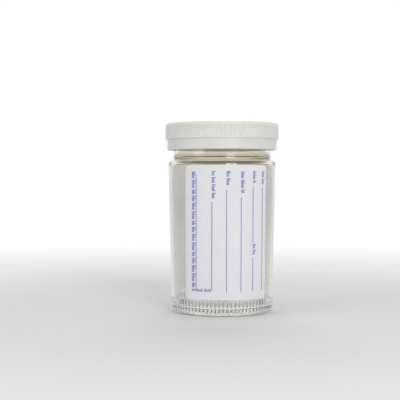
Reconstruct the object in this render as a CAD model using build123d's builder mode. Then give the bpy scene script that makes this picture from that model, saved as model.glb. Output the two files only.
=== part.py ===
"""A lidded specimen container: a clear moulded jar, its screw cap with a sealing disc, and a paper label.

Millimetres, +Z up. The jar stands on the XY plane with its axis on Z and its label facing -Y.
"""

import os
from math import cos, degrees, radians, sin, tan

from build123d import *

# ---- Driving dimensions of the jar ----
shoulder_height = 71.0        # bench to the ledge where the body meets the neck
body_diameter = 50.4          # outside, at the shoulder
body_taper = 1.3              # degrees of draft: the wall narrows towards the base
wall = 1.25
shoulder_bevel = 1.5          # the shoulder's corner is taken off in two steps
shoulder_bevel_tip = 0.5
base_chamfer = 0.8
floor_thickness = 1.5
floor_chamfer = 1.4           # inside corner between floor and wall
base_recess = 1.2             # the floor's underside stands clear of the bench
recess_taper = 20.0           # degrees of draft inside the standing ring
standing_ring = 2.1           # flat width of the ring that touches the bench

# ---- Driving dimensions of the gripping flutes round the base ----
flute_count = 80
flute_foot = 1.7              # bench to the lower end of the flutes
flute_length = 5.3
flute_width = 1.15
flute_depth = 0.4
flute_margin = 0.3            # plain strip left over the flutes before the taper starts

# ---- Driving dimensions of the neck ----
neck_step = 2.6               # how far the neck stands in from the body wall
neck_length = 14.6
neck_wall = 1.5
rim_chamfer = 0.35
bead_rise = 0.9               # shoulder ledge to the foot of the bead
bead_length = 1.5
bead_height = 0.6             # how far the bead stands out of the neck
bead_bevel = 0.4

# ---- Driving dimensions of the two-start thread ----
thread_starts = 2
thread_pitch = 4.233          # from one ridge to the next along the axis
flank_angle = 30.0            # degrees from square across the ridge
neck_ridge_height = 1.1
neck_ridge_crest = 0.9        # flat width on top of the ridge
cap_ridge_height = 1.05
cap_ridge_crest = 0.7
ridge_root = 0.4              # how far a ridge reaches into the wall that carries it
thread_play = 0.3             # gap between the flanks that bear when the cap is tight
crest_clearance = 0.3         # gap between the jar's ridge tops and the cap's bore
thread_above_bead = 3.1
thread_below_rim = 0.6
thread_above_mouth = 0.55     # the cap's ridges start this far inside its mouth
thread_below_seal = 1.3

# ---- Driving dimensions of the cap ----
cap_height = 12.5
cap_panel = 1.4
cap_skirt_wall = 1.7
mouth_lead_in = 0.6
skirt_foot_chamfer = 0.3
grip_step = 0.8               # the gripping band stands out from the plain skirt
grip_height = 7.4             # cap top down to the step
cap_top_chamfer = 0.9
knurl_count = 120
knurl_width = 0.95
knurl_depth = 0.45
knurl_foot = 0.7              # plain rim left under the knurling
knurl_head = 1.2              # plain rim left over it

# ---- Driving dimensions of the sealing disc and the label ----
seal_thickness = 1.0
seal_clearance = 0.4
label_width = 41.5            # measured along the wall
label_thickness = 0.12
label_corner = 2.2
label_above_flutes = 0.3
label_below_shoulder = 2.7
adhesive = 0.02

# ---- Sizes that follow ----
rim_height = shoulder_height + neck_length
neck_radius = body_diameter / 2 - neck_step
neck_bore = neck_radius - neck_wall
floor_top = base_recess + floor_thickness
band_top = flute_foot + flute_length + flute_margin
bead_bottom = shoulder_height + bead_rise
bead_top = bead_bottom + bead_length

flank_slope = tan(radians(flank_angle))
lead = thread_pitch * thread_starts
neck_crest = neck_radius + neck_ridge_height
cap_bore = neck_crest + crest_clearance
cap_crest = cap_bore - cap_ridge_height

seal_top = rim_height + seal_thickness
cap_top = seal_top + cap_panel
cap_mouth = cap_top - cap_height
skirt_radius = cap_bore + cap_skirt_wall
grip_radius = skirt_radius + grip_step
grip_bottom = cap_top - grip_height
seal_radius = cap_bore - seal_clearance

label_bottom = band_top + label_above_flutes
label_top = shoulder_height - label_below_shoulder


def wall_radius(height):
    """Outside radius of the body at a height above the bench: straight round the flutes, then tapered."""
    drafted_height = shoulder_height - max(height, band_top)
    return body_diameter / 2 - drafted_height * tan(radians(body_taper))


def ridge_width(crest_width, depth):
    """Width of a thread ridge at a depth under its crest."""
    return crest_width + 2 * depth * flank_slope


def thread_ridge(crest_radius, root_radius, crest_width, bottom, top):
    """One thread ridge, from the angle 0 of the XZ plane, with half-round ends.

    The middle of the ridge climbs from bottom to top, counter-clockwise as seen from above.
    """
    root_width = ridge_width(crest_width, abs(root_radius - crest_radius))
    turn = 360 * (top - bottom) / lead
    outline = [(root_radius, root_width / 2), (crest_radius, crest_width / 2)]
    with BuildPart() as ridge:
        with BuildLine():
            Helix(pitch=lead, height=top - bottom, radius=crest_radius)
        with BuildSketch(Plane.XZ):
            with BuildLine():
                Polyline(*outline, *[(x, -y) for x, y in reversed(outline)], close=True)
            make_face()
        sweep(is_frenet=True)
        with BuildSketch(Plane.XZ) as half_section:
            with BuildLine():
                Polyline(*outline, (crest_radius, 0), (root_radius, 0), close=True)
            make_face()
        end = revolve(half_section.sketch, axis=Axis.X, revolution_arc=180, mode=Mode.PRIVATE)
        start_end, far_end = sorted([end, end.rotate(Axis.X, 180)], key=lambda half: half.center().Y)
        add(start_end)
        add(far_end.rotate(Axis.Z, turn).moved(Location((0, 0, top - bottom))))
    return ridge.part.moved(Location((0, 0, bottom)))


# ---- Thread heights: each ridge fills the height that its wall leaves it ----
neck_ridge_half = ridge_width(neck_ridge_crest, neck_ridge_height) / 2
neck_thread_bottom = bead_top + thread_above_bead + neck_ridge_half
neck_thread_top = rim_height - thread_below_rim - neck_ridge_half
cap_ridge_half = ridge_width(cap_ridge_crest, cap_ridge_height) / 2
cap_thread_bottom = cap_mouth + thread_above_mouth + cap_ridge_half
cap_thread_top = rim_height - thread_below_seal - cap_ridge_half

# A cap ridge rides under a neck ridge, its upper flank one play away from the lower flank above it.
shared_depth = neck_crest - cap_crest
ridge_offset = (neck_ridge_crest + cap_ridge_crest) / 2 + shared_depth * flank_slope + thread_play
cap_thread_angle = 360 * (cap_thread_bottom + ridge_offset - neck_thread_bottom) / lead


# ---- The jar: one moulding ----
neck_ridge = thread_ridge(
    crest_radius=neck_crest,
    root_radius=neck_radius - ridge_root,
    crest_width=neck_ridge_crest,
    bottom=neck_thread_bottom,
    top=neck_thread_top,
)

with BuildPart() as container:
    # Outside: fluted band, tapered wall, ledge and neck
    with BuildSketch(Plane.XZ) as outside:
        with BuildLine():
            Polyline(
                (0, 0),
                (wall_radius(0), 0),
                (wall_radius(band_top), band_top),
                (wall_radius(shoulder_height), shoulder_height),
                (neck_radius, shoulder_height),
                (neck_radius, rim_height),
                (0, rim_height),
                close=True,
            )
        make_face()
        chamfer(outside.vertices().sort_by(Axis.X)[-1], length=shoulder_bevel)
        bevel_top = outside.vertices().group_by(Axis.Y)[-2].sort_by(Axis.X)[-1]
        bevel_foot = outside.vertices().sort_by(Axis.X)[-1]
        chamfer([bevel_top, bevel_foot], length=shoulder_bevel_tip)
    revolve(axis=Axis.Z)
    chamfer(container.faces().sort_by(Axis.Z)[0].edges(), length=base_chamfer)

    # Bead round the neck, below the cap
    with BuildSketch(Plane.XZ):
        with BuildLine():
            Polyline(
                (neck_bore, bead_bottom),
                (neck_radius + bead_height - bead_bevel, bead_bottom),
                (neck_radius + bead_height, bead_bottom + bead_bevel),
                (neck_radius + bead_height, bead_top - bead_bevel),
                (neck_radius + bead_height - bead_bevel, bead_top),
                (neck_bore, bead_top),
                close=True,
            )
        make_face()
    revolve(axis=Axis.Z)

    # Inside: the wall's own thickness all the way up, and an open neck
    inside_shoulder = shoulder_height - wall
    with BuildSketch(Plane.XZ):
        with BuildLine():
            Polyline(
                (0, floor_top),
                (wall_radius(floor_top) - wall - floor_chamfer, floor_top),
                (wall_radius(floor_top) - wall, floor_top + floor_chamfer),
                (wall_radius(band_top) - wall, band_top),
                (wall_radius(inside_shoulder) - wall, inside_shoulder),
                (neck_bore, inside_shoulder + neck_step - neck_wall + wall),
                (neck_bore, rim_height),
                (0, rim_height),
                close=True,
            )
        make_face()
    revolve(axis=Axis.Z, mode=Mode.SUBTRACT)
    chamfer(container.faces().sort_by(Axis.Z)[-1].edges(), length=rim_chamfer)

    # Recess under the floor, which leaves a ring to stand on
    ring_inside = wall_radius(0) - base_chamfer - standing_ring
    with BuildSketch(Plane.XY):
        Circle(ring_inside)
    extrude(amount=base_recess, taper=recess_taper, mode=Mode.SUBTRACT)

    # Thread ridges
    with PolarLocations(0, thread_starts):
        add(neck_ridge)

    # Flutes, cut by one toothed ring
    with BuildSketch(Plane.XY.offset(flute_foot)):
        Circle(wall_radius(flute_foot) + flute_depth)
        Circle(wall_radius(flute_foot), mode=Mode.SUBTRACT)
        with PolarLocations(wall_radius(flute_foot), flute_count):
            Polygon((0, flute_width / 2), (0, -flute_width / 2), (-flute_depth, 0), align=None)
    extrude(amount=flute_length, mode=Mode.SUBTRACT)


# ---- The screw cap: one moulding ----
cap_ridge = thread_ridge(
    crest_radius=cap_crest,
    root_radius=cap_bore + ridge_root,
    crest_width=cap_ridge_crest,
    bottom=cap_thread_bottom,
    top=cap_thread_top,
)

with BuildPart() as cap:
    # Plain skirt, and the wider gripping band over it
    with BuildSketch(Plane.XZ):
        with BuildLine():
            Polyline(
                (0, cap_mouth),
                (skirt_radius, cap_mouth),
                (skirt_radius, grip_bottom),
                (grip_radius, grip_bottom),
                (grip_radius, cap_top),
                (0, cap_top),
                close=True,
            )
        make_face()
    revolve(axis=Axis.Z)
    chamfer(cap.faces().sort_by(Axis.Z)[-1].edges(), length=cap_top_chamfer)
    chamfer(cap.faces().sort_by(Axis.Z)[0].edges(), length=skirt_foot_chamfer)

    # Inside, up to the panel that the sealing disc lies against
    with BuildSketch(Plane.XZ):
        with BuildLine():
            Polyline(
                (0, cap_mouth),
                (cap_bore + mouth_lead_in, cap_mouth),
                (cap_bore, cap_mouth + mouth_lead_in),
                (cap_bore, seal_top),
                (0, seal_top),
                close=True,
            )
        make_face()
    revolve(axis=Axis.Z, mode=Mode.SUBTRACT)

    # Thread ridges
    with PolarLocations(0, thread_starts, start_angle=cap_thread_angle):
        add(cap_ridge)

    # Knurling: straight grooves between two plain rims, cut by one toothed ring
    with BuildSketch(Plane.XY.offset(grip_bottom + knurl_foot)):
        Circle(grip_radius + knurl_depth)
        Circle(grip_radius, mode=Mode.SUBTRACT)
        with PolarLocations(grip_radius, knurl_count):
            Polygon((0, knurl_width / 2), (0, -knurl_width / 2), (-knurl_depth, 0), align=None)
    extrude(amount=grip_height - knurl_foot - knurl_head, mode=Mode.SUBTRACT)


# ---- The sealing disc, loose inside the cap and pressed on the rim ----
with BuildPart() as seal:
    with BuildSketch(Plane.XY.offset(rim_height)):
        Circle(seal_radius)
    extrude(amount=seal_thickness)


# ---- The label: a strip of paper that follows the wall's taper ----
label_middle = (label_bottom + label_top) / 2
label_arc = degrees(label_width / wall_radius(label_middle))
label_front = -90
corner_arc = degrees(label_corner / wall_radius(label_middle))
with BuildPart() as label:
    with BuildSketch(Plane.XZ.rotated((0, 0, label_front - label_arc / 2))):
        with BuildLine():
            inside_bottom = wall_radius(label_bottom) + adhesive
            inside_top = wall_radius(label_top) + adhesive
            Polyline(
                (inside_bottom, label_bottom),
                (inside_bottom + label_thickness, label_bottom),
                (inside_top + label_thickness, label_top),
                (inside_top, label_top),
                close=True,
            )
        make_face()
    revolve(axis=Axis.Z, revolution_arc=label_arc)

    # Round each corner with a cut made square to the wall
    for side, beyond_side in ((-1, Align.MAX), (1, Align.MIN)):
        facing = radians(label_front + side * (label_arc / 2 - corner_arc))
        for height, beyond_end in ((label_bottom + label_corner, Align.MAX), (label_top - label_corner, Align.MIN)):
            corner = Plane(
                origin=(0, 0, height),
                x_dir=(-sin(facing), cos(facing), 0),
                z_dir=(cos(facing), sin(facing), 0),
            )
            with BuildSketch(corner):
                Rectangle(2 * label_corner, 2 * label_corner, align=(beyond_side, beyond_end))
                Circle(label_corner, mode=Mode.SUBTRACT)
            extrude(amount=body_diameter, mode=Mode.SUBTRACT)


# ---- Names and files ----
os.makedirs("parts", exist_ok=True)
container.part.label = "container"
export_step(container.part, "parts/container.step")
cap.part.label = "cap"
export_step(cap.part, "parts/cap.step")
seal.part.label = "seal"
export_step(seal.part, "parts/seal.step")
label.part.label = "label"
export_step(label.part, "parts/label.step")
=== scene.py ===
"""Looks of a specimen container: clear jar, screw cap, sealing disc, printed paper label and a plain studio.

Metres, +Z up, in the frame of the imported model: the jar stands on the XY plane and its label faces -Y.
"""

import logging
from collections.abc import Callable, Iterable
from dataclasses import dataclass, field
from enum import Enum
from math import cos, pi, radians, sin, tan

import bpy
import numpy as np
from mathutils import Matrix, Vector


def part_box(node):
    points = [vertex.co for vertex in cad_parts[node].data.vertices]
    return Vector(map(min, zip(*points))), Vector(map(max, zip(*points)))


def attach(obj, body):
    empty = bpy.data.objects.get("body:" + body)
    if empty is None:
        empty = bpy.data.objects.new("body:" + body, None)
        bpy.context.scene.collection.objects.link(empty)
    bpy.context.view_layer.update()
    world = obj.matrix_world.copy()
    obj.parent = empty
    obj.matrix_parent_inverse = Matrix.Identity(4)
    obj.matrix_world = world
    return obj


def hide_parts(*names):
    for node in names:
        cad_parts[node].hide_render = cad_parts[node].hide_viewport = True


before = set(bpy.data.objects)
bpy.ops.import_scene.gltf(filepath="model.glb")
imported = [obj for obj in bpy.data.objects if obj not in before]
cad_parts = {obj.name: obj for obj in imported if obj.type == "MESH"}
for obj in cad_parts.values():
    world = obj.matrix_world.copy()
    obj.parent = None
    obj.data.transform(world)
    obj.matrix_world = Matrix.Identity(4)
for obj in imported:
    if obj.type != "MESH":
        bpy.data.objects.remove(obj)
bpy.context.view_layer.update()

MM = 0.001
RELIEF = "relief"
SAME_HEIGHT = 1e-7
FLAT_HOLD = 0.25 * MM
FLAT_HOLD_SHARE = 0.2

Shift = Callable[[np.ndarray, np.ndarray, np.ndarray], np.ndarray]
Colour = tuple[float, float, float]
Corner = tuple[float, float, float]
Span = tuple[float, float]
Triple = tuple[float, float, float]
Socket = bpy.types.NodeSocket

BLACK: Colour = (0.0, 0.0, 0.0)
WHITE: Colour = (1.0, 1.0, 1.0)

log = logging.getLogger("specimen_container")


# ---- Where the frame puts things ----
@dataclass(frozen=True)
class NodeBox:
    """Radius and height range of a round node of the frame."""

    low: float
    high: float
    radius: float

    @classmethod
    def of(cls, node: str) -> "NodeBox":
        """Reads the box of a node.

        Args:
            node: the node's name in the frame.

        Returns:
            The node's height range and its largest reach along X.
        """
        low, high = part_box(node)
        return cls(low.z, high.z, high.x)


# ---- Outlines and meshes ----
def rounded_outline(corners: list[Corner], steps: int = 5) -> np.ndarray:
    """Turns the corners of an open polyline into arcs.

    An arc of radius R leaves its corner's two runs at R / tan(half the corner's angle) from the corner. Its
    points are the blend sin((1 - s) w) u + sin(s w) v over sin(w), where u and v point from the arc's centre
    to its two ends and w is the angle between them. One more point on each run, just beyond the arc, keeps
    the run flat when the mesh is shaded smooth.

    Args:
        corners: corners as (radius, height, arc radius), with arc radius 0 for a plain point.
        steps: pieces in each arc.

    Returns:
        The outline as an array of (radius, height) rows.
    """
    table = np.array(corners, float)
    points, radii = table[:, :2], table[:, 2]
    share = np.linspace(0.0, 1.0, steps + 1)[:, None]
    rows = []
    for i, corner in enumerate(points):
        if radii[i] <= 0:
            rows.append(corner[None])
            continue
        back, ahead = points[i - 1] - corner, points[i + 1] - corner
        reach = min(np.linalg.norm(back), np.linalg.norm(ahead))
        back, ahead = back / np.linalg.norm(back), ahead / np.linalg.norm(ahead)
        half = 0.5 * np.arccos(np.clip(back @ ahead, -1.0, 1.0))
        tangent = radii[i] / np.tan(half)
        middle = back + ahead
        centre = corner + middle / np.linalg.norm(middle) * radii[i] / np.sin(half)
        first, last = corner + back * tangent - centre, corner + ahead * tangent - centre
        sweep = pi - 2 * half
        arc = (np.sin((1 - share) * sweep) * first + np.sin(share * sweep) * last) / np.sin(sweep)
        hold = min(FLAT_HOLD, FLAT_HOLD_SHARE * (reach - tangent)) if reach > tangent else 0.0
        before, after = corner + back * (tangent + hold), corner + ahead * (tangent + hold)
        rows += [before[None], centre + arc, after[None]]
    return np.vstack(rows)


def with_levels(outline: np.ndarray, levels: Iterable[float]) -> np.ndarray:
    """Adds a point wherever an outline crosses one of some heights.

    Args:
        outline: (radius, height) rows.
        levels: the heights.

    Returns:
        The outline with its new points, each a straight blend of its step's two ends.
    """
    for level in levels:
        step = np.diff(outline, axis=0)
        low = np.minimum(outline[:-1, 1], outline[1:, 1])
        high = np.maximum(outline[:-1, 1], outline[1:, 1])
        crossing = np.flatnonzero((low < level - SAME_HEIGHT) & (level + SAME_HEIGHT < high))
        share = ((level - outline[crossing, 1]) / step[crossing, 1])[:, None]
        outline = np.insert(outline, crossing + 1, outline[crossing] + step[crossing] * share, axis=0)
    return outline


def refined(outline: np.ndarray, longest: float, low: float, high: float) -> np.ndarray:
    """Splits the climbing steps of an outline between two heights into equal shorter ones.

    Args:
        outline: (radius, height) rows.
        longest: longest step allowed in the range.
        low: bottom of the range.
        high: top of the range.

    Returns:
        The outline with its steps divided, each point a straight blend of the step's two ends.
    """
    outline = with_levels(outline, (low, high))
    step = np.diff(outline, axis=0)
    above = np.minimum(outline[:-1, 1], outline[1:, 1]) >= low - SAME_HEIGHT
    below = np.maximum(outline[:-1, 1], outline[1:, 1]) <= high + SAME_HEIGHT
    climbing = np.abs(step[:, 1]) > np.abs(step[:, 0])
    count = np.where(above & below & climbing, np.ceil(np.hypot(*step.T) / longest), 1).astype(int)
    count = np.maximum(count, 1)
    owner = np.repeat(np.arange(len(step)), count)
    place = np.arange(count.sum()) - np.repeat(np.cumsum(count) - count, count)
    share = (place / count[owner])[:, None]
    return np.vstack([outline[owner] + step[owner] * share, outline[-1:]])


def mesh_object(name: str, points: np.ndarray, faces: list[np.ndarray]) -> bpy.types.Object:
    """Makes a smooth-shaded mesh object at the origin.

    Args:
        name: name of the piece.
        points: vertex positions, one row each.
        faces: index arrays, each of one face size.

    Returns:
        The linked object.
    """
    mesh = bpy.data.meshes.new(name)
    mesh.vertices.add(len(points))
    mesh.vertices.foreach_set("co", np.ascontiguousarray(points, np.float32).ravel())
    sizes = np.concatenate([np.full(len(f), f.shape[1], np.int32) for f in faces])
    corners = np.concatenate([f.ravel() for f in faces]).astype(np.int32)
    mesh.loops.add(len(corners))
    mesh.loops.foreach_set("vertex_index", corners)
    mesh.polygons.add(len(sizes))
    mesh.polygons.foreach_set("loop_start", (np.cumsum(sizes) - sizes).astype(np.int32))
    mesh.polygons.foreach_set("use_smooth", np.ones(len(sizes), bool))
    mesh.update(calc_edges=True)
    mesh.validate()
    piece = bpy.data.objects.new(name, mesh)
    bpy.context.scene.collection.objects.link(piece)
    return piece


def turned_piece(
    name: str, outline: np.ndarray, columns: int, shift: Shift | None = None
) -> bpy.types.Object:
    """Makes a closed piece by turning an outline about Z.

    The point of row i at angle t is ((r + d) cos t, (r + d) sin t, z), where r and z are the row's and d is
    the shift at (t, r, z). The outline starts and ends on the axis, and each end is one point. The shift is
    kept in millimetres in the point attribute "relief", which the jar's material reads to paint shade into
    its grooves.

    Args:
        name: name of the piece.
        outline: (radius, height) rows, with the material on the left of its direction.
        columns: points round the axis.
        shift: radial shift as a function of angle, radius and height, or None.

    Returns:
        The piece, its faces outwards.
    """
    angle = np.arange(columns) * (2 * pi / columns)
    radius, height = outline[1:-1, 0:1], outline[1:-1, 1:2]
    reach = radius + (shift(angle[None], radius, height) if shift else 0.0)
    reach = np.broadcast_to(reach, (len(radius), columns))
    level = np.broadcast_to(height, reach.shape)
    grid = np.stack([reach * np.cos(angle), reach * np.sin(angle), level], axis=-1).reshape(-1, 3)
    ends = np.array([[0.0, 0.0, outline[0, 1]], [0.0, 0.0, outline[-1, 1]]])
    index = np.arange(len(grid)).reshape(reach.shape)
    beside = np.roll(index, -1, axis=1)
    quads = np.stack([index[:-1], beside[:-1], beside[1:], index[1:]], axis=-1).reshape(-1, 4)
    first, last = len(grid), len(grid) + 1
    start_fan = np.stack([np.full(columns, first), beside[0], index[0]], axis=-1)
    end_fan = np.stack([np.full(columns, last), index[-1], beside[-1]], axis=-1)
    piece = mesh_object(name, np.vstack([grid, ends]), [quads, np.vstack([start_fan, end_fan])])
    relief = np.append((reach - radius).ravel() / MM, [0.0, 0.0]).astype(np.float32)
    piece.data.attributes.new(RELIEF, "FLOAT", "POINT").data.foreach_set("value", relief)
    return piece


def sheet_parts(outer: np.ndarray, inner: np.ndarray, first: int = 0) -> tuple[np.ndarray, np.ndarray]:
    """Points and faces of a closed thin sheet between two grids.

    The outer grid's faces point away from the inner grid, and a strip of faces joins the two grids' borders.

    Args:
        outer: outer surface, rows x columns x 3, where rows climb and columns run to the right.
        inner: inner surface of the same shape.
        first: index of the sheet's first point.

    Returns:
        The points and the four-sided faces.
    """
    rows, columns = outer.shape[:2]
    front = np.arange(rows * columns).reshape(rows, columns) + first
    back = front + rows * columns

    def cells(index: np.ndarray) -> np.ndarray:
        """Four-sided cells of an index grid."""
        ring = [index[:-1, :-1], index[:-1, 1:], index[1:, 1:], index[1:, :-1]]
        return np.stack(ring, axis=-1).reshape(-1, 4)

    def border(index: np.ndarray) -> np.ndarray:
        """Closed loop round an index grid, in the direction of its cells."""
        return np.concatenate([index[0, :-1], index[:-1, -1], index[-1, :0:-1], index[:0:-1, 0]])

    edge_front, edge_back = border(front), border(back)
    rim = np.stack([np.roll(edge_front, -1), edge_front, edge_back, np.roll(edge_back, -1)], axis=-1)
    faces = np.vstack([cells(front), cells(back)[:, ::-1], rim])
    return np.concatenate([outer.reshape(-1, 3), inner.reshape(-1, 3)]), faces


# ---- Radial detail ----
def eased(share: np.ndarray) -> np.ndarray:
    """Smooth step s^2 (3 - 2 s) of a share s, held between 0 and 1."""
    held = np.clip(share, 0.0, 1.0)
    return held**2 * (3 - 2 * held)


class Side(Enum):
    """Which way a ridge stands from the wall it is on."""

    OUTWARD = 1
    INWARD = -1


@dataclass(frozen=True)
class Grooves:
    """Straight V-shaped grooves round a band."""

    count: int
    width: float
    depth: float
    low: float
    high: float
    run_out: float = 0.25 * MM

    def levels(self) -> list[float]:
        """Heights where the grooves start, reach full depth, leave it and end."""
        return [self.low, self.low + self.run_out, self.high - self.run_out, self.high]

    def shift(self, angle: np.ndarray, radius: np.ndarray, height: np.ndarray) -> np.ndarray:
        """Radial shift of the surface.

        Across a groove the shift is a tent, full depth in its middle and 0 at its lips, and along it the
        shift runs out over a short ramp at each end.

        Args:
            angle: angles round the axis.
            radius: radius of the plain surface.
            height: heights.

        Returns:
            The shift at each angle and height, 0 or negative.
        """
        pitch = 2 * pi / self.count
        across = (np.mod(angle / pitch + 0.5, 1.0) - 0.5) * pitch * radius
        tent = np.clip(1.0 - np.abs(across) / (self.width / 2), 0.0, 1.0)
        up = np.clip((height - self.low) / self.run_out, 0.0, 1.0)
        down = np.clip((self.high - height) / self.run_out, 0.0, 1.0)
        return -self.depth * tent * np.minimum(up, down)


@dataclass(frozen=True)
class ScrewThread:
    """Two-start right-hand thread, shared by the neck and the cap."""

    starts: int = 2
    pitch: float = 4.233 * MM
    flank_slope: float = tan(radians(30.0))
    neck_height: float = 1.1 * MM
    neck_crest: float = 0.9 * MM
    cap_height: float = 1.05 * MM
    cap_crest: float = 0.7 * MM
    play: float = 0.3 * MM
    crest_clearance: float = 0.3 * MM

    @property
    def lead(self) -> float:
        """Rise in one turn."""
        return self.pitch * self.starts

    def foot(self, crest: float, height: float) -> float:
        """Half the width of a ridge, of a crest width and height, where it meets its wall."""
        return crest / 2 + height * self.flank_slope


@dataclass(frozen=True)
class ScrewRidges:
    """Helical ridges that stand out of a neck or into a bore."""

    thread: ScrewThread
    low: float
    high: float
    ridge_height: float
    crest_width: float
    first_angle: float
    side: Side
    run_out: float = 3.5 * MM

    @property
    def foot(self) -> float:
        """Half the width of a ridge where it meets its wall."""
        return self.thread.foot(self.crest_width, self.ridge_height)

    def shift(self, angle: np.ndarray, radius: np.ndarray, height: np.ndarray) -> np.ndarray:
        """Radial shift of the surface.

        The distance d of a point from a ridge's middle line is measured on the unrolled surface, to the
        nearest end where the point lies beyond it. The ridge's height is eased from 0 at its foot to full
        at the edge of its crest, and once more along it, from 0 at its ends to full one run-out further in,
        so that it sinks into the wall there.

        Args:
            angle: angles round the axis.
            radius: radius of the plain surface.
            height: heights.

        Returns:
            The shift at each angle and height.
        """
        sweep = 2 * pi * (self.high - self.low) / self.thread.lead
        margin = (2 * pi - sweep) / 2
        flank = self.ridge_height * self.thread.flank_slope
        standing = np.zeros(np.broadcast_shapes(angle.shape, height.shape))
        for start in range(self.thread.starts):
            turned = angle - self.first_angle - 2 * pi * start / self.thread.starts
            along = np.mod(turned + margin, 2 * pi) - margin
            on_ridge = np.clip(along, 0.0, sweep)
            middle = self.low + self.thread.lead * on_ridge / (2 * pi)
            distance = np.hypot((along - on_ridge) * radius, height - middle)
            across = eased((self.foot - distance) / flank)
            lengthwise = eased(np.minimum(on_ridge, sweep - on_ridge) * radius / self.run_out)
            standing = np.maximum(standing, self.ridge_height * across * lengthwise)
        return self.side.value * standing

    def refine(self, outline: np.ndarray, longest: float) -> np.ndarray:
        """Splits an outline's climbing steps where the ridges run.

        Args:
            outline: (radius, height) rows.
            longest: longest step allowed there.

        Returns:
            The outline with its steps divided.
        """
        return refined(outline, longest, self.low - self.foot, self.high + self.foot)


# ---- Finishes ----
class NodeGraph:
    """Nodes and links of a material or world."""

    def __init__(self, tree: bpy.types.NodeTree) -> None:
        """Takes hold of a node tree.

        Args:
            tree: the tree.
        """
        self.nodes = tree.nodes
        self.links = tree.links

    def combine(self, operation: str, first: Socket, second: Socket | float) -> Socket:
        """Combines two values.

        Args:
            operation: the Math node's operation.
            first: the first value.
            second: the second value, a socket or a number.

        Returns:
            The result's socket.
        """
        node = self.nodes.new("ShaderNodeMath")
        node.operation = operation
        self.links.new(first, node.inputs[0])
        if isinstance(second, Socket):
            self.links.new(second, node.inputs[1])
        else:
            node.inputs[1].default_value = second
        return node.outputs[0]

    def spread(self, source: Socket, inputs: Span, outputs: Span = (0.0, 1.0)) -> Socket:
        """Maps one range of a value onto another, held beyond its ends.

        Args:
            source: the value.
            inputs: the two values that give the ends of the outputs.
            outputs: the results there.

        Returns:
            The result's socket.
        """
        node = self.nodes.new("ShaderNodeMapRange")
        node.inputs["From Min"].default_value, node.inputs["From Max"].default_value = inputs
        node.inputs["To Min"].default_value, node.inputs["To Max"].default_value = outputs
        self.links.new(source, node.inputs["Value"])
        return node.outputs["Result"]


@dataclass(frozen=True)
class Zone:
    """Height range with one colour; between two zones the colour blends."""

    low: float
    high: float
    colour: Colour


@dataclass(frozen=True)
class Grain:
    """Noise on object coordinates: cells in a metre, octaves, and scale along each axis."""

    scale: float
    detail: float
    stretch: Triple = (1.0, 1.0, 1.0)


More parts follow.
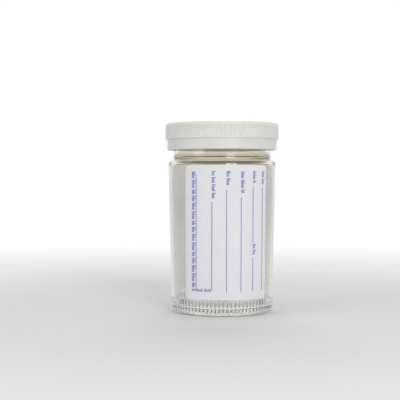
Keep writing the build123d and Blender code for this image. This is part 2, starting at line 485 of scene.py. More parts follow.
class Surface(NodeGraph):
    """Node material under construction, with a Principled shader and object coordinates."""

    noise_span: Span = (0.3, 0.7)

    def __init__(self, name: str) -> None:
        """Starts a material.

        Args:
            name: the material's name.
        """
        self.material = bpy.data.materials.new(name)
        self.material.use_nodes = True
        super().__init__(self.material.node_tree)
        self.shader = self.nodes["Principled BSDF"]
        self.output = self.nodes["Material Output"]
        self.place = self.nodes.new("ShaderNodeTexCoord").outputs["Object"]

    def set(self, **values: object) -> None:
        """Sets constants on the shader's own sockets.

        Args:
            values: the constants, by socket name with underscores for spaces.
        """
        for key, value in values.items():
            self.shader.inputs[key.replace("_", " ")].default_value = value

    def colour_by(self, source: Socket) -> None:
        """Drives the base colour."""
        self.links.new(source, self.shader.inputs["Base Color"])

    def noise(self, grain: Grain) -> Socket:
        """Adds a noise texture on object coordinates.

        Args:
            grain: the noise's sizes.

        Returns:
            The noise's socket.
        """
        mapping = self.nodes.new("ShaderNodeMapping")
        mapping.inputs["Scale"].default_value = grain.stretch
        noise = self.nodes.new("ShaderNodeTexNoise")
        noise.inputs["Scale"].default_value = grain.scale
        noise.inputs["Detail"].default_value = grain.detail
        self.links.new(self.place, mapping.inputs["Vector"])
        self.links.new(mapping.outputs["Vector"], noise.inputs["Vector"])
        return noise.outputs["Fac"]

    def ramp(self, source: Socket, low: Colour, high: Colour, span: Span) -> bpy.types.Node:
        """Adds a colour ramp between two colours.

        Args:
            source: value that drives the ramp.
            low: colour below the span.
            high: colour above it.
            span: values where the change starts and ends.

        Returns:
            The ramp node.
        """
        node = self.nodes.new("ShaderNodeValToRGB")
        first, last = node.color_ramp.elements
        first.position, last.position = span
        first.color, last.color = (*low, 1.0), (*high, 1.0)
        self.links.new(source, node.inputs["Fac"])
        return node

    def mottled(self, source: Socket, low: Colour, high: Colour, span: Span) -> Socket:
        """Colour between two shades, driven by a texture.

        Args:
            source: the texture.
            low: colour below the span.
            high: colour above it.
            span: values where the change starts and ends.

        Returns:
            The colour's socket.
        """
        return self.ramp(source, low, high, span).outputs["Color"]

    def by_height(self, zones: Iterable[Zone]) -> Socket:
        """Colour that follows the height above the bench.

        Args:
            zones: height ranges with their colours, climbing.

        Returns:
            The colour's socket.
        """
        stops = [(height, zone.colour) for zone in zones for height in (zone.low, zone.high)]
        low, high = stops[0][0], stops[-1][0]
        split = self.nodes.new("ShaderNodeSeparateXYZ")
        self.links.new(self.place, split.inputs["Vector"])
        share = self.spread(split.outputs["Z"], (low, high))
        ramp = self.ramp(share, stops[0][1], stops[-1][1], (0.0, 1.0))
        for height, colour in stops[1:-1]:
            ramp.color_ramp.elements.new((height - low) / (high - low)).color = (*colour, 1.0)
        return ramp.outputs["Color"]

    def relief(self, span: Span) -> Socket:
        """Share of the mesh's relief between two heights.

        Args:
            span: the heights in millimetres that give 0 and 1.

        Returns:
            The share's socket.
        """
        attribute = self.nodes.new("ShaderNodeAttribute")
        attribute.attribute_name = RELIEF
        return self.spread(attribute.outputs["Fac"], span)

    def mix(self, share: Socket, first: Socket | Colour, second: Socket | Colour) -> Socket:
        """Mixes two colours.

        Args:
            share: share of the second colour.
            first: the first colour, or its socket.
            second: the second colour, or its socket.

        Returns:
            The result's socket.
        """
        node = self.nodes.new("ShaderNodeMix")
        node.data_type = "RGBA"
        self.links.new(share, node.inputs["Factor"])
        for socket, value in ((node.inputs[6], first), (node.inputs[7], second)):
            if isinstance(value, Socket):
                self.links.new(value, socket)
            else:
                socket.default_value = (*value, 1.0)
        return node.outputs[2]

    def roughness_by(self, source: Socket, span: Span, added: Socket | None = None) -> None:
        """Drives the roughness from a texture.

        Args:
            source: the texture.
            span: roughness at the texture's low and high ends.
            added: roughness added to it, or None.
        """
        rough = self.spread(source, self.noise_span, span)
        if added is not None:
            rough = self.combine("ADD", rough, added)
        self.links.new(rough, self.shader.inputs["Roughness"])

    def bump(self, source: Socket, height: float, strength: float) -> None:
        """Raises the surface's grain.

        Args:
            source: grain texture.
            height: height of the grain in metres.
            strength: share of the effect.
        """
        node = self.nodes.new("ShaderNodeBump")
        node.inputs["Distance"].default_value = height
        node.inputs["Strength"].default_value = strength
        self.links.new(source, node.inputs["Height"])
        self.links.new(node.outputs["Normal"], self.shader.inputs["Normal"])


@dataclass(frozen=True)
class ClearMoulding:
    """Clear moulded plastic with a faint warm tint that deepens where the light crosses more of it.

    The surface's tint goes by height zones of painted light and shade: painted shade greys the wall, a
    little less towards the bottom; the foot, band, shoulder and the neck under the cap are painted lighter;
    the neck's warm band is partly the plastic's own yellow tint and partly painted shade under the cap.
    """

    # Painted light and shade: these tints grey the wall, lighter towards the bottom, and lighten foot, band,
    # shoulder and covered neck; the neck's warm band is partly the plastic's own yellow tint, partly painted
    # shade under the cap.
    foot: Zone = Zone(0.0, 1.6 * MM, WHITE)
    band: Zone = Zone(3.0 * MM, 7.0 * MM, (0.82, 0.82, 0.81))
    low_wall: Zone = Zone(10.0 * MM, 25.0 * MM, (0.745, 0.74, 0.72))
    wall: Zone = Zone(45.0 * MM, 68.3 * MM, (0.715, 0.71, 0.69))
    shoulder: Zone = Zone(69.2 * MM, 70.8 * MM, (0.91, 0.89, 0.80))
    neck: Zone = Zone(71.4 * MM, 74.2 * MM, (0.785, 0.745, 0.605))
    covered: Zone = Zone(75.2 * MM, 86.0 * MM, (0.975, 0.95, 0.86))
    # Painted shade: the grooves' colour is drawn towards this dark grey by their depth.
    groove: Colour = (0.16, 0.16, 0.16)
    groove_shade_span: Span = (-0.05, -0.4)
    ripple: Grain = Grain(60.0, 2.0, (1.0, 1.0, 0.35))
    ripple_height: float = 0.06 * MM
    ripple_share: float = 0.5
    cloud: Colour = (0.93, 0.93, 0.92)
    cloud_span: Span = (0.4, 0.6)
    roughness: Span = (0.02, 0.06)
    ring_texture: Zone = Zone(0.0, 0.9 * MM, (0.22, 0.22, 0.22))
    ring_smooth: Zone = Zone(1.4 * MM, 86.0 * MM, BLACK)
    depth_tint: Colour = (0.80, 0.77, 0.64)
    depth_density: float = 10.0
    refraction: float = 1.56

    def build(self) -> bpy.types.Material:
        """Builds the material.

        A slow ripple, left by the mould, moves the surface and its roughness a little, and clouds the tint.
        The grooves are darkened with painted shade by their depth, and the height zones paint light and
        shade into the tint. The standing ring is finely textured, so its roughness is raised by a share that
        fades out above it. Absorption by depth tints the long ways through the plastic.

        Returns:
            The material.
        """
        surface = Surface("clear_moulding")
        surface.set(Transmission_Weight=1.0, IOR=self.refraction)
        ripple = surface.noise(self.ripple)
        zones = (self.foot, self.band, self.low_wall, self.wall, self.shoulder, self.neck, self.covered)
        cloud = surface.mottled(ripple, self.cloud, WHITE, self.cloud_span)
        # Painted light and shade by height, clouded by the ripple.
        clouded_light_and_shade = surface.mix(cloud, BLACK, surface.by_height(zones))
        # Painted shade in the grooves, by their depth, over the painted light and shade of the height zones.
        surface.colour_by(surface.mix(surface.relief(self.groove_shade_span), clouded_light_and_shade, self.groove))
        texture = surface.by_height((self.ring_texture, self.ring_smooth))
        surface.roughness_by(ripple, self.roughness, texture)
        surface.bump(ripple, self.ripple_height, self.ripple_share)
        depth = surface.nodes.new("ShaderNodeVolumeAbsorption")
        depth.inputs["Color"].default_value = (*self.depth_tint, 1.0)
        depth.inputs["Density"].default_value = self.depth_density
        surface.links.new(depth.outputs["Volume"], surface.output.inputs["Volume"])
        return surface.material


@dataclass(frozen=True)
class WhiteMoulding:
    """Satin white moulded plastic with a fine grain."""

    colour: Colour = (0.745, 0.735, 0.70)
    shade: Colour = (0.715, 0.705, 0.665)
    mottling: Grain = Grain(45.0, 2.0)
    mottling_span: Span = (0.35, 0.62)
    grain: Grain = Grain(2600.0, 2.0)
    grain_height: float = 0.01 * MM
    grain_share: float = 0.35
    roughness: Span = (0.33, 0.45)
    glow: float = 0.7
    glow_depth: float = 5.0 * MM
    glow_reach: Triple = (1.0, 0.9, 0.75)
    refraction: float = 1.5

    def build(self) -> bpy.types.Material:
        """Builds the material: slow mottling of the colour, light that enters it, satin sheen, fine grain.

        Returns:
            The material.
        """
        surface = Surface("white_moulding")
        surface.set(Subsurface_Weight=self.glow, Subsurface_Scale=self.glow_depth, IOR=self.refraction)
        surface.set(Subsurface_Radius=self.glow_reach)
        mottling = surface.noise(self.mottling)
        surface.colour_by(surface.mottled(mottling, self.shade, self.colour, self.mottling_span))
        grain = surface.noise(self.grain)
        surface.roughness_by(grain, self.roughness)
        surface.bump(grain, self.grain_height, self.grain_share)
        return surface.material


@dataclass(frozen=True)
class WhiteFoam:
    """Soft white foam of the sealing disc."""

    colour: Colour = (0.86, 0.86, 0.84)
    pore: Colour = (0.74, 0.74, 0.71)
    pores: Grain = Grain(2200.0, 4.0)
    pore_span: Span = (0.38, 0.5)
    pore_depth: float = 0.05 * MM
    pore_share: float = 0.6
    roughness: Span = (0.7, 0.9)
    refraction: float = 1.4

    def build(self) -> bpy.types.Material:
        """Builds the material: small pores in colour and height, dull surface.

        Returns:
            The material.
        """
        surface = Surface("white_foam")
        surface.set(IOR=self.refraction)
        pores = surface.noise(self.pores)
        surface.colour_by(surface.mottled(pores, self.pore, self.colour, self.pore_span))
        surface.roughness_by(pores, self.roughness)
        surface.bump(pores, self.pore_depth, self.pore_share)
        return surface.material


@dataclass(frozen=True)
class LabelPaper:
    """Smooth white label paper with a cool cast."""

    colour: Colour = (0.92, 0.895, 0.975)
    fibre: Colour = (0.89, 0.865, 0.945)
    fibres: Grain = Grain(1500.0, 4.0, (1.0, 1.0, 0.3))
    fibre_span: Span = (0.35, 0.6)
    fibre_height: float = 0.012 * MM
    fibre_share: float = 0.4
    roughness: Span = (0.62, 0.78)
    glow: float = 0.75
    glow_depth: float = 0.4 * MM
    glow_reach: Triple = (1.0, 1.0, 1.0)
    refraction: float = 1.45

    def build(self) -> bpy.types.Material:
        """Builds the material: short fibres along the label, light that enters it, no gloss.

        Returns:
            The material.
        """
        surface = Surface("label_paper")
        surface.set(Subsurface_Weight=self.glow, Subsurface_Scale=self.glow_depth, IOR=self.refraction)
        surface.set(Subsurface_Radius=self.glow_reach)
        fibres = surface.noise(self.fibres)
        surface.colour_by(surface.mottled(fibres, self.fibre, self.colour, self.fibre_span))
        surface.roughness_by(fibres, self.roughness)
        surface.bump(fibres, self.fibre_height, self.fibre_share)
        return surface.material


@dataclass(frozen=True)
class BlueInk:
    """Thin blue printing ink, a little patchy on the paper."""

    colour: Colour = (0.10, 0.13, 0.50)
    thin: Colour = (0.17, 0.21, 0.60)
    patches: Grain = Grain(1400.0, 3.0)
    patch_span: Span = (0.42, 0.6)
    roughness: Span = (0.55, 0.7)
    refraction: float = 1.45

    def build(self) -> bpy.types.Material:
        """Builds the material: two depths of blue in small patches, dull surface.

        Returns:
            The material.
        """
        surface = Surface("blue_ink")
        surface.set(IOR=self.refraction)
        patches = surface.noise(self.patches)
        surface.colour_by(surface.mottled(patches, self.colour, self.thin, self.patch_span))
        surface.roughness_by(patches, self.roughness)
        return surface.material


# ---- The jar ----
@dataclass
class Jar:
    """Clear moulded jar: recessed floor, fluted band, tapered wall, shoulder, bead, neck with its thread."""

    thread: ScrewThread
    box: NodeBox = field(default_factory=lambda: NodeBox.of("container"))
    shoulder_height: float = 71.0 * MM
    shoulder_radius: float = 25.2 * MM
    shoulder_drop: float = 0.9 * MM
    taper: float = radians(1.3)
    wall: float = 1.25 * MM
    wall_step: float = 12.0 * MM
    band_top: float = 7.3 * MM
    flute_count: int = 80
    flute_width: float = 1.15 * MM
    flute_depth: float = 0.4 * MM
    flute_low: float = 1.7 * MM
    flute_high: float = 7.0 * MM
    columns_per_flute: int = 6
    floor_top: float = 2.7 * MM
    base_recess: float = 1.2 * MM
    recess_radius: float = 20.85 * MM
    recess_draft: float = 0.45 * MM
    neck_radius: float = 22.6 * MM
    neck_wall: float = 1.5 * MM
    neck_foot: float = 0.15 * MM
    bead_low: float = 71.9 * MM
    bead_high: float = 73.4 * MM
    bead_height: float = 0.3 * MM
    bead_lip: float = 0.1 * MM
    bead_crest: float = 0.5 * MM
    inner_shoulder_rise: float = 2.35 * MM
    thread_above_bead: float = 3.1 * MM
    thread_below_rim: float = 0.6 * MM
    thread_step: float = 0.18 * MM

    @property
    def neck_middle(self) -> float:
        """Radius of the middle of the neck's wall."""
        return self.neck_radius - self.neck_wall / 2

    def wall_radius(self, height: float) -> float:
        """Outside radius of the body at a height: straight round the flutes, then tapered."""
        return self.shoulder_radius - (self.shoulder_height - max(height, self.band_top)) * tan(self.taper)

    def flutes(self) -> Grooves:
        """Grooves of the gripping band."""
        return Grooves(self.flute_count, self.flute_width, self.flute_depth, self.flute_low, self.flute_high)

    def ridges(self) -> ScrewRidges:
        """Thread ridges of the neck.

        Returns:
            The ridges, from a little above the bead to just below the rim.
        """
        thread = self.thread
        foot = thread.foot(thread.neck_crest, thread.neck_height)
        low = self.bead_high + self.thread_above_bead + foot
        high = self.box.high - self.thread_below_rim - foot
        return ScrewRidges(thread, low, high, thread.neck_height, thread.neck_crest, 0.0, Side.OUTWARD)

    def outside(self) -> np.ndarray:
        """Outline from the middle of the underside up to the rim.

        Returns:
            (radius, height) rows, divided finely where the thread runs.
        """
        ring, neck = self.wall_radius(0.0), self.neck_radius
        bead = neck + self.bead_height
        outline = rounded_outline([
            (0.0, self.base_recess, 0.0),
            (self.recess_radius - self.recess_draft, self.base_recess, 0.4 * MM),
            (self.recess_radius, 0.0, 0.3 * MM),
            (ring, 0.0, 1.15 * MM),
            (ring, self.band_top, 0.0),
            (self.shoulder_radius, self.shoulder_height - self.shoulder_drop, 2.2 * MM),
            (neck, self.shoulder_height + self.neck_foot, 0.9 * MM),
            (neck, self.bead_low + self.bead_lip, 0.3 * MM),
            (bead, self.bead_low + self.bead_crest, 0.4 * MM),
            (bead, self.bead_high - self.bead_crest, 0.4 * MM),
            (neck, self.bead_high - self.bead_lip, 0.5 * MM),
            (neck, self.box.high, 0.4 * MM),
            (self.neck_middle, self.box.high, 0.0),
        ])
        outline = with_levels(outline, self.flutes().levels())
        outline = refined(outline, self.wall_step, self.band_top, self.shoulder_height)
        return self.ridges().refine(outline, self.thread_step)

    def inside(self) -> np.ndarray:
        """Outline from the rim down to the middle of the floor.

        Returns:
            (radius, height) rows.
        """
        bore = self.neck_radius - self.neck_wall
        shoulder = self.shoulder_height - self.wall - self.shoulder_drop
        outline = rounded_outline([
            (self.neck_middle, self.box.high, 0.0),
            (bore, self.box.high, 0.4 * MM),
            (bore, shoulder + self.inner_shoulder_rise, 1.5 * MM),
            (self.wall_radius(shoulder) - self.wall, shoulder, 1.2 * MM),
            (self.wall_radius(self.band_top) - self.wall, self.band_top, 0.0),
            (self.wall_radius(0.0) - self.wall, self.floor_top, 2.6 * MM),
            (0.0, self.floor_top, 0.0),
        ])
        return refined(outline, self.wall_step, self.band_top, self.shoulder_height)

    def build(self) -> bpy.types.Object:
        """Builds and dresses the jar.

        Returns:
            The jar, riding on the container's body.
        """
        flutes, ridges = self.flutes(), self.ridges()
        bead_middle = (self.bead_low + self.bead_high) / 2
        wall_middle = self.wall_radius(0.0) - 0.5 * self.wall

        def shift(angle: np.ndarray, radius: np.ndarray, height: np.ndarray) -> np.ndarray:
            """Flutes on the outside of the band and ridges on the outside of the neck."""
            fluted = flutes.shift(angle, radius, height) * (radius > wall_middle)
            threaded = ridges.shift(angle, radius, height)
            return np.where(height < bead_middle, fluted, threaded) * (radius > self.neck_middle)

        outline = np.vstack([self.outside(), self.inside()[1:]])
        columns = self.flute_count * self.columns_per_flute
        jar = turned_piece("jar", outline, columns, shift)
        jar.data.materials.append(ClearMoulding().build())
        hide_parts("container")
        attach(jar, "container")
        log.info("jar: %d rows, %d columns", len(outline), columns)
        return jar


# ---- The cap ----
@dataclass
class Cap:
    """White screw cap: panel, knurled grip between two plain rims, plain skirt, thread inside."""

    thread: ScrewThread
    jar: Jar
    box: NodeBox = field(default_factory=lambda: NodeBox.of("cap"))
    seal: NodeBox = field(default_factory=lambda: NodeBox.of("seal"))
    skirt_step: float = 0.8 * MM
    grip_height: float = 7.4 * MM
    knurl_count: int = 120
    knurl_width: float = 0.95 * MM
    knurl_depth: float = 0.36 * MM
    knurl_foot: float = 0.7 * MM
    knurl_head: float = 1.2 * MM
    columns_per_rib: int = 6
    mouth_bevel: float = 0.6 * MM
    mouth_land: float = 1.0 * MM
    thread_above_mouth: float = 0.55 * MM
    thread_below_rim: float = 1.3 * MM
    thread_step: float = 0.22 * MM
    on_bore: float = 0.01 * MM

    @property
    def bore(self) -> float:
        """Radius of the cap's bore."""
        return self.jar.neck_radius + self.thread.neck_height + self.thread.crest_clearance

    def knurling(self) -> Grooves:
        """Grooves of the grip."""
        low = self.box.high - self.grip_height + self.knurl_foot
        high = self.box.high - self.knurl_head
        return Grooves(self.knurl_count, self.knurl_width, self.knurl_depth, low, high)

    def ridges(self) -> ScrewRidges:
        """Thread ridges inside the cap, one play below those of the neck.

        The middle lines of the two threads are apart by the means of their crests, the flanks' run over the
        height where they overlap, and the play. The cap's first angle puts its thread that far below.

        Returns:
            The ridges, facing inwards.
        """
        thread, neck = self.thread, self.jar.ridges()
        foot = thread.foot(thread.cap_crest, thread.cap_height)
        low = self.box.low + self.thread_above_mouth + foot
        high = self.jar.box.high - self.thread_below_rim - foot
        overlap = thread.cap_height - thread.crest_clearance
        below = (thread.neck_crest + thread.cap_crest) / 2 + overlap * thread.flank_slope + thread.play
        angle = 2 * pi * (low + below - neck.low) / thread.lead
        return ScrewRidges(thread, low, high, thread.cap_height, thread.cap_crest, angle, Side.INWARD)

    def outline(self) -> np.ndarray:
        """Outline from the underside of the panel, down the bore, and up the outside to the panel's top.

        Returns:
            (radius, height) rows, divided finely where the thread runs.
        """
        bore, grip, skirt = self.bore, self.box.radius, self.box.radius - self.skirt_step
        step, top, mouth = self.box.high - self.grip_height, self.box.high, self.box.low
        inner = rounded_outline([
            (0.0, self.seal.high, 0.0),
            (bore, self.seal.high, 0.3 * MM),
            (bore, mouth + self.mouth_bevel, 0.3 * MM),
            (bore + self.mouth_bevel, mouth, 0.15 * MM),
            (bore + self.mouth_land, mouth, 0.0),
        ], steps=4)
        inner = self.ridges().refine(inner, self.thread_step)
        outer = rounded_outline([
            (bore + self.mouth_land, mouth, 0.0),
            (skirt, mouth, 0.3 * MM),
            (skirt, step, 0.35 * MM),
            (grip, step, 0.2 * MM),
            (grip, top, 1.1 * MM),
            (0.0, top, 0.0),
        ])
        return np.vstack([inner, with_levels(outer, self.knurling().levels())[1:]])

    def build(self) -> bpy.types.Object:
        """Builds and dresses the cap.

        Returns:
            The cap, riding on its own body.
        """
        knurling, ridges = self.knurling(), self.ridges()
        middle = (self.bore + self.box.radius) / 2

        def shift(angle: np.ndarray, radius: np.ndarray, height: np.ndarray) -> np.ndarray:
            """Knurling on the outside and ridges on the bore."""
            on_bore = np.abs(radius - self.bore) < self.on_bore
            threaded = np.where(on_bore, ridges.shift(angle, radius, height), 0.0)
            return np.where(radius > middle, knurling.shift(angle, radius, height), threaded)

        outline = self.outline()
        columns = self.knurl_count * self.columns_per_rib
        cap = turned_piece("screw_cap", outline, columns, shift)
        cap.data.materials.append(WhiteMoulding().build())
        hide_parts("cap")
        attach(cap, "cap")
        log.info("screw_cap: %d rows, %d columns", len(outline), columns)
        return cap


# ---- The sealing disc ----
@dataclass
class SealingDisc:
    """Foam disc with the rim's print pressed into its underside."""

    jar: Jar
    box: NodeBox = field(default_factory=lambda: NodeBox.of("seal"))
    edge_round: float = 0.15 * MM
    print_depth: float = 0.06 * MM
    print_slope: float = 0.1 * MM
    columns: int = 160

    def outline(self) -> np.ndarray:
        """Outline from the middle of the underside round the edge to the middle of the top.

        Returns:
            (radius, height) rows.
        """
        inner, outer = self.jar.neck_radius - self.jar.neck_wall, self.jar.neck_radius
        low, high, edge = self.box.low, self.box.high, self.box.radius
        pressed = low + self.print_depth
        return rounded_outline([
            (0.0, low, 0.0),
            (inner, low, 0.0),
            (inner + self.print_slope, pressed, 0.0),
            (outer - self.print_slope, pressed, 0.0),
            (outer, low, 0.0),
            (edge, low, self.edge_round),
            (edge, high, self.edge_round),
            (0.0, high, 0.0),
        ], steps=3)

    def build(self) -> bpy.types.Object:
        """Builds and dresses the disc.

        Returns:
            The disc, riding on the body that rises with the cap.
        """
        disc = turned_piece("sealing_disc", self.outline(), self.columns)
        disc.data.materials.append(WhiteFoam().build())
        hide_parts("seal")
        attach(disc, "seal")
        log.info("sealing_disc: %.1f mm across", 2 * self.box.radius / MM)
        return disc


# ---- The label and its print ----
@dataclass(frozen=True)
class Stroke:
    """A printed bar: its left edge and width along the wall, its foot and length up the wall."""

    left: float
    width: float
    foot: float
    length: float


@dataclass(frozen=True)
class Column:
    """A ruled line or line of text, in millimetres: its place along the wall, its top and its foot."""

    along: float
    top: float
    foot: float


@dataclass(frozen=True)
class Lettering:
    """Short bars in word-like groups that stand for a line of text."""

    bar: float = 0.36 * MM
    gap: float = 0.17 * MM
    space: float = 0.60 * MM
    low_share: float = 0.68

    def strokes(self, line: Column, letter: float, seed: int, indent: float = 0.0) -> list[Stroke]:
        """Bars of one line, from the top down.

        Bar n of a word is tall when n is 0 or 7 n + 3 seed is a multiple of 5. Word m, counted from the
        seed, has 4 bars plus the remainder of 5 m over 4.

        Args:
            line: where the line runs.
            letter: height of its tall bars, along the wall.
            seed: number that sets the words' lengths.
            indent: distance from the line's place to the foot of its bars, to the right.

        Returns:
            The bars.
        """
        strokes, place, count, word = [], line.top * MM, 0, seed
        while place - self.bar > line.foot * MM:
            tall = (count * 7 + seed * 3) % 5 == 0 or count == 0
            height = letter if tall else self.low_share * letter
            strokes.append(Stroke(line.along * MM + indent, height, place - self.bar, self.bar))
            place -= self.bar + self.gap
            count += 1
            if count > 3 + (word * 5) % 4:
                place -= self.space
                count, word = 0, word + 1
        return strokes


@dataclass(frozen=True)
class FormPrint:
    """Everything printed on the label: ruled lines, their captions, and small print on the left."""

    rules: tuple[Column, ...] = (
        Column(-7.1, 51.9, 11.9),
        Column(-0.5, 57.3, 11.0),
        Column(6.2, 53.9, 11.0),
        Column(12.25, 58.4, 33.2),
        Column(12.25, 26.6, 11.3),
        Column(17.9, 58.2, 11.6),
        Column(-14.65, 64.0, 11.2),
    )
    captions: tuple[Column, ...] = (
        Column(-7.1, 65.6, 53.2),
        Column(-0.5, 65.6, 58.6),
        Column(6.2, 65.4, 55.4),
        Column(12.25, 65.6, 60.0),
        Column(12.25, 32.6, 27.8),
        Column(17.6, 65.4, 59.4),
    )
    small_print: Column = Column(-16.85, 65.3, 11.2)
    lettering: Lettering = Lettering()
    rule_width: float = 0.32 * MM
    caption_letter: float = 1.8 * MM
    caption_indent: float = -0.1 * MM
    small_letter: float = 1.9 * MM
    small_seed: int = 2
    note_left: float = -14.3
    note_foot: float = 11.3 * MM
    note_pitch: float = 0.58
    note_bar: float = 0.38 * MM
    note_tall: float = 1.35 * MM
    note_low: float = 0.9 * MM
    note_steps: tuple[int, ...] = (0, 1, 2, 3, 4, 6, 7, 8, 9, 10, 11)
    note_tall_steps: tuple[int, ...] = (0, 4, 7, 10)

    def note(self) -> list[Stroke]:
        """Upright bars of the short note at the foot, in two words.

        Returns:
            The bars, from the left.
        """
        return [
            Stroke(
                (self.note_left + self.note_pitch * step) * MM,
                self.note_bar,
                self.note_foot,
                self.note_tall if step in self.note_tall_steps else self.note_low,
            )
            for step in self.note_steps
        ]

    def strokes(self) -> list[Stroke]:
        """All printed bars, in drawing order.

        Returns:
            The bars of the rules, the captions, the small print and the note.
        """
        half = self.rule_width / 2
        bars = [
            Stroke(rule.along * MM - half, 2 * half, rule.foot * MM, (rule.top - rule.foot) * MM)
            for rule in self.rules
        ]
        for seed, caption in enumerate(self.captions):
            bars += self.lettering.strokes(caption, self.caption_letter, seed, self.caption_indent)
        bars += self.lettering.strokes(self.small_print, self.small_letter, self.small_seed)
        return bars + self.note()


@dataclass
class FormLabel:
    """Paper label that follows the wall's taper, printed with ruled lines and plain caption bars.

    Places on the label are given along the wall from the label's middle, and as heights above the bench.
    """

    jar: Jar
    width: float = 41.5 * MM
    corner: float = 2.2 * MM
    adhesive: float = 0.02 * MM
    thickness: float = 0.12 * MM
    ink: float = 0.012 * MM
    ink_gap: float = 0.1
    front: float = -pi / 2
    columns: int = 57
    corner_rows: int = 8
    wall_rows: int = 24
    long_bar: float = 5.0 * MM

    def __post_init__(self) -> None:
        """Reads the label's height range from the frame."""
        low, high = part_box("label")
        self.low, self.high = low.z, high.z

    def on_wall(self, along: np.ndarray, height: np.ndarray, lift: float) -> np.ndarray:
        """Points of the wall's cone, lifted off it.

        The point at distance a along the wall and height z has the radius r of the wall at z plus the lift,
        and the angle front + a / r, so that a strip of paper keeps its width from top to bottom.

        Args:
            along: distances from the label's middle, to the right as seen from outside.
            height: heights above the bench.
            lift: distance from the wall.

        Returns:
            The points, with one more axis for X, Y and Z.
        """
        wall = self.jar.shoulder_radius - (self.jar.shoulder_height - height) * tan(self.jar.taper)
        angle = self.front + along / wall
        return np.stack([(wall + lift) * np.cos(angle), (wall + lift) * np.sin(angle), height], axis=-1)

    def paper(self) -> bpy.types.Object:
        """Builds the paper.

        The half width of a row at a distance d from the nearer end is w/2 - c + sqrt(c^2 - (c - d)^2) inside
        the corners, of radius c, and w/2 between them.

        Returns:
            The paper, riding on the container's body.
        """
        into = self.corner * (1 - np.cos(np.linspace(0.0, pi / 2, self.corner_rows)))
        straight = np.linspace(self.low + self.corner, self.high - self.corner, self.wall_rows)[1:-1]
        heights = np.concatenate([self.low + into, straight, self.high - into[::-1]])
        end = np.minimum(heights - self.low, self.high - heights)
        short = np.clip(self.corner - end, 0.0, self.corner)
        half = self.width / 2 - self.corner + np.sqrt(self.corner**2 - short**2)
        along = half[:, None] * np.linspace(-1.0, 1.0, self.columns)[None]
        rows = np.broadcast_to(heights[:, None], along.shape)
        outer = self.on_wall(along, rows, self.adhesive + self.thickness)
        inner = self.on_wall(along, rows, self.adhesive)
        points, faces = sheet_parts(outer, inner)
        paper = mesh_object("label_paper", points, [faces])
        paper.data.materials.append(LabelPaper().build())
        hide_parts("label")
        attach(paper, "container")
        log.info("label_paper: %.1f x %.1f mm", self.width / MM, (self.high - self.low) / MM)
        return paper

    def printing(self) -> bpy.types.Object:
        """Builds the ink: every bar is a thin closed patch on the paper.

        Returns:
            The ink, riding on the container's body.
        """
        points, faces, count = [], [], 0
        lift = self.adhesive + self.thickness
        for bar in FormPrint().strokes():
            rows = 2 if bar.length < self.long_bar else 3
            along, height = np.meshgrid(
                np.linspace(bar.left, bar.left + bar.width, 3),
                np.linspace(bar.foot, bar.foot + bar.length, rows),
            )
            outer = self.on_wall(along, height, lift + self.ink)
            inner = self.on_wall(along, height, lift + self.ink_gap * self.ink)
            patch, cells = sheet_parts(outer, inner, count)
            points.append(patch)
            faces.append(cells)
            count += len(patch)
        ink = mesh_object("label_printing", np.vstack(points), [np.vstack(faces)])
        ink.data.polygons.foreach_set("use_smooth", np.zeros(len(ink.data.polygons), bool))
        ink.data.materials.append(BlueInk().build())
        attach(ink, "container")
        log.info("label_printing: %d bars", len(points))
        return ink

    def build(self) -> list[bpy.types.Object]:
        """Builds the paper and its print."""
        return [self.paper(), self.printing()]


# ---- Studio ----
@dataclass(frozen=True)
class Lamp:
    """Square soft lamp: its name, place, side and power in watts."""

    name: str
    place: Triple
    size: float
    power: float

    def build(self, aim: Vector) -> bpy.types.Object:
        """Adds the lamp.

        Args:
            aim: the point it faces.

        Returns:
            The lamp.
        """
        data = bpy.data.lights.new(self.name, "AREA")
        data.size, data.energy = self.size, self.power
        lamp = bpy.data.objects.new(self.name, data)
        lamp.location = self.place
        lamp.rotation_euler = (aim - Vector(self.place)).to_track_quat("-Z", "Y").to_euler()
        bpy.context.scene.collection.objects.link(lamp)
        return lamp


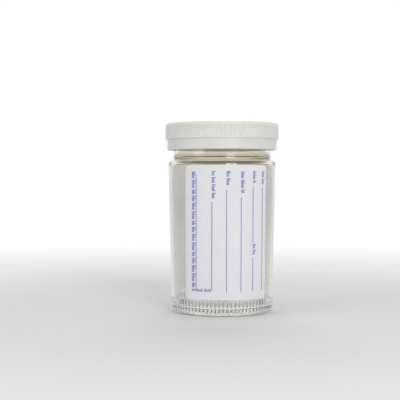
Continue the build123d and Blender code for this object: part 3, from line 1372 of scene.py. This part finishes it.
@dataclass
class Studio:
    """Plain pale floor, soft lamps, white surroundings and the camera."""

    floor_half: float = 3.0
    floor_colour: Colour = (0.86, 0.86, 0.86)
    floor_roughness: float = 0.9
    bright_reach: Span = (0.12, 0.45)
    bright_share: Span = (0.1, 1.0)
    bright_through: float = 0.88
    matt_light: float = 0.46
    lamps: tuple[Lamp, ...] = (
        Lamp("key_lamp", (0.24, -0.96, 0.32), 0.4, 4.2),
        Lamp("left_lamp", (-0.85, -0.4, 0.3), 0.5, 1.2),
        Lamp("back_lamp", (0.1, 0.7, 0.9), 0.6, 3.0),
    )
    lamp_aim_height: float = 45.0 * MM
    camera_distance: float = 0.475
    camera_height: float = 62.7 * MM
    camera_turn: float = radians(6.05)
    aim_left: float = 10.35 * MM
    aim_height: float = 52.1 * MM
    lens: float = 90.6
    sensor: float = 36.0
    nearest: float = 0.01

    def floor(self) -> bpy.types.Object:
        """Builds the floor.

        Near the object it takes light and shadow; it turns white further off, and where it is seen through
        the clear plastic or mirrored in it.

        Returns:
            The floor.
        """
        side = self.floor_half * np.array([-1.0, 1.0, 1.0, -1.0])
        points = np.stack([side, np.roll(side, 1), np.zeros(4)], axis=-1)
        floor = mesh_object("studio_floor", points, [np.array([[0, 1, 2, 3]])])
        surface = Surface("studio_floor")
        surface.set(Base_Color=(*self.floor_colour, 1.0), Roughness=self.floor_roughness)
        surface.set(Specular_IOR_Level=0.0)
        path = surface.nodes.new("ShaderNodeLightPath").outputs
        reach = surface.nodes.new("ShaderNodeVectorMath")
        reach.operation = "LENGTH"
        surface.links.new(surface.place, reach.inputs[0])
        far = surface.spread(reach.outputs["Value"], self.bright_reach, self.bright_share)
        direct = surface.combine("MULTIPLY", far, path["Is Camera Ray"])
        bent = surface.combine("MAXIMUM", path["Is Transmission Ray"], path["Is Glossy Ray"])
        through = surface.combine("MULTIPLY", bent, self.bright_through)
        white = surface.nodes.new("ShaderNodeEmission")
        blend = surface.nodes.new("ShaderNodeMixShader")
        surface.links.new(surface.combine("MAXIMUM", direct, through), blend.inputs["Fac"])
        surface.links.new(surface.shader.outputs[0], blend.inputs[1])
        surface.links.new(white.outputs[0], blend.inputs[2])
        surface.links.new(blend.outputs[0], surface.output.inputs["Surface"])
        floor.data.materials.append(surface.material)
        return floor

    def surroundings(self) -> None:
        """Sets the world: white where it is seen or mirrored, and a soft grey light on matt surfaces."""
        world = bpy.data.worlds.new("studio_world")
        bpy.context.scene.world = world
        world.use_nodes = True
        graph = NodeGraph(world.node_tree)
        path = graph.nodes.new("ShaderNodeLightPath").outputs
        seen = graph.combine("MAXIMUM", path["Is Camera Ray"], path["Is Transmission Ray"])
        seen = graph.combine("MAXIMUM", seen, path["Is Glossy Ray"])
        background = graph.nodes["Background"]
        background.inputs["Color"].default_value = (*WHITE, 1.0)
        strength = graph.spread(seen, (0.0, 1.0), (self.matt_light, 1.0))
        graph.links.new(strength, background.inputs["Strength"])

    def camera(self) -> None:
        """Places the camera nearly level, turned a little round the object, aimed left of its axis."""
        turn, distance = self.camera_turn, self.camera_distance
        data = bpy.data.cameras.new("studio_camera")
        data.lens, data.sensor_width = self.lens, self.sensor
        data.clip_start = self.nearest
        camera = bpy.data.objects.new("studio_camera", data)
        camera.location = (-sin(turn) * distance, -cos(turn) * distance, self.camera_height)
        aim = Vector((-cos(turn) * self.aim_left, sin(turn) * self.aim_left, self.aim_height))
        camera.rotation_euler = (aim - camera.location).to_track_quat("-Z", "Y").to_euler()
        bpy.context.scene.collection.objects.link(camera)
        bpy.context.scene.camera = camera

    def build(self) -> None:
        """Builds the floor, surroundings, lamps and camera."""
        self.floor()
        self.surroundings()
        for lamp in self.lamps:
            lamp.build(Vector((0.0, 0.0, self.lamp_aim_height)))
        self.camera()
        bpy.context.scene.view_settings.view_transform = "Standard"
        log.info("studio: %d lamps, camera %.0f mm away", len(self.lamps), self.camera_distance / MM)


def main() -> None:
    """Builds every piece in order."""
    logging.basicConfig(level=logging.INFO, format="%(name)s %(message)s")
    thread = ScrewThread()
    jar = Jar(thread)
    jar.build()
    Cap(thread, jar).build()
    SealingDisc(jar).build()
    FormLabel(jar).build()
    Studio().build()


if __name__ == "__main__":
    main()
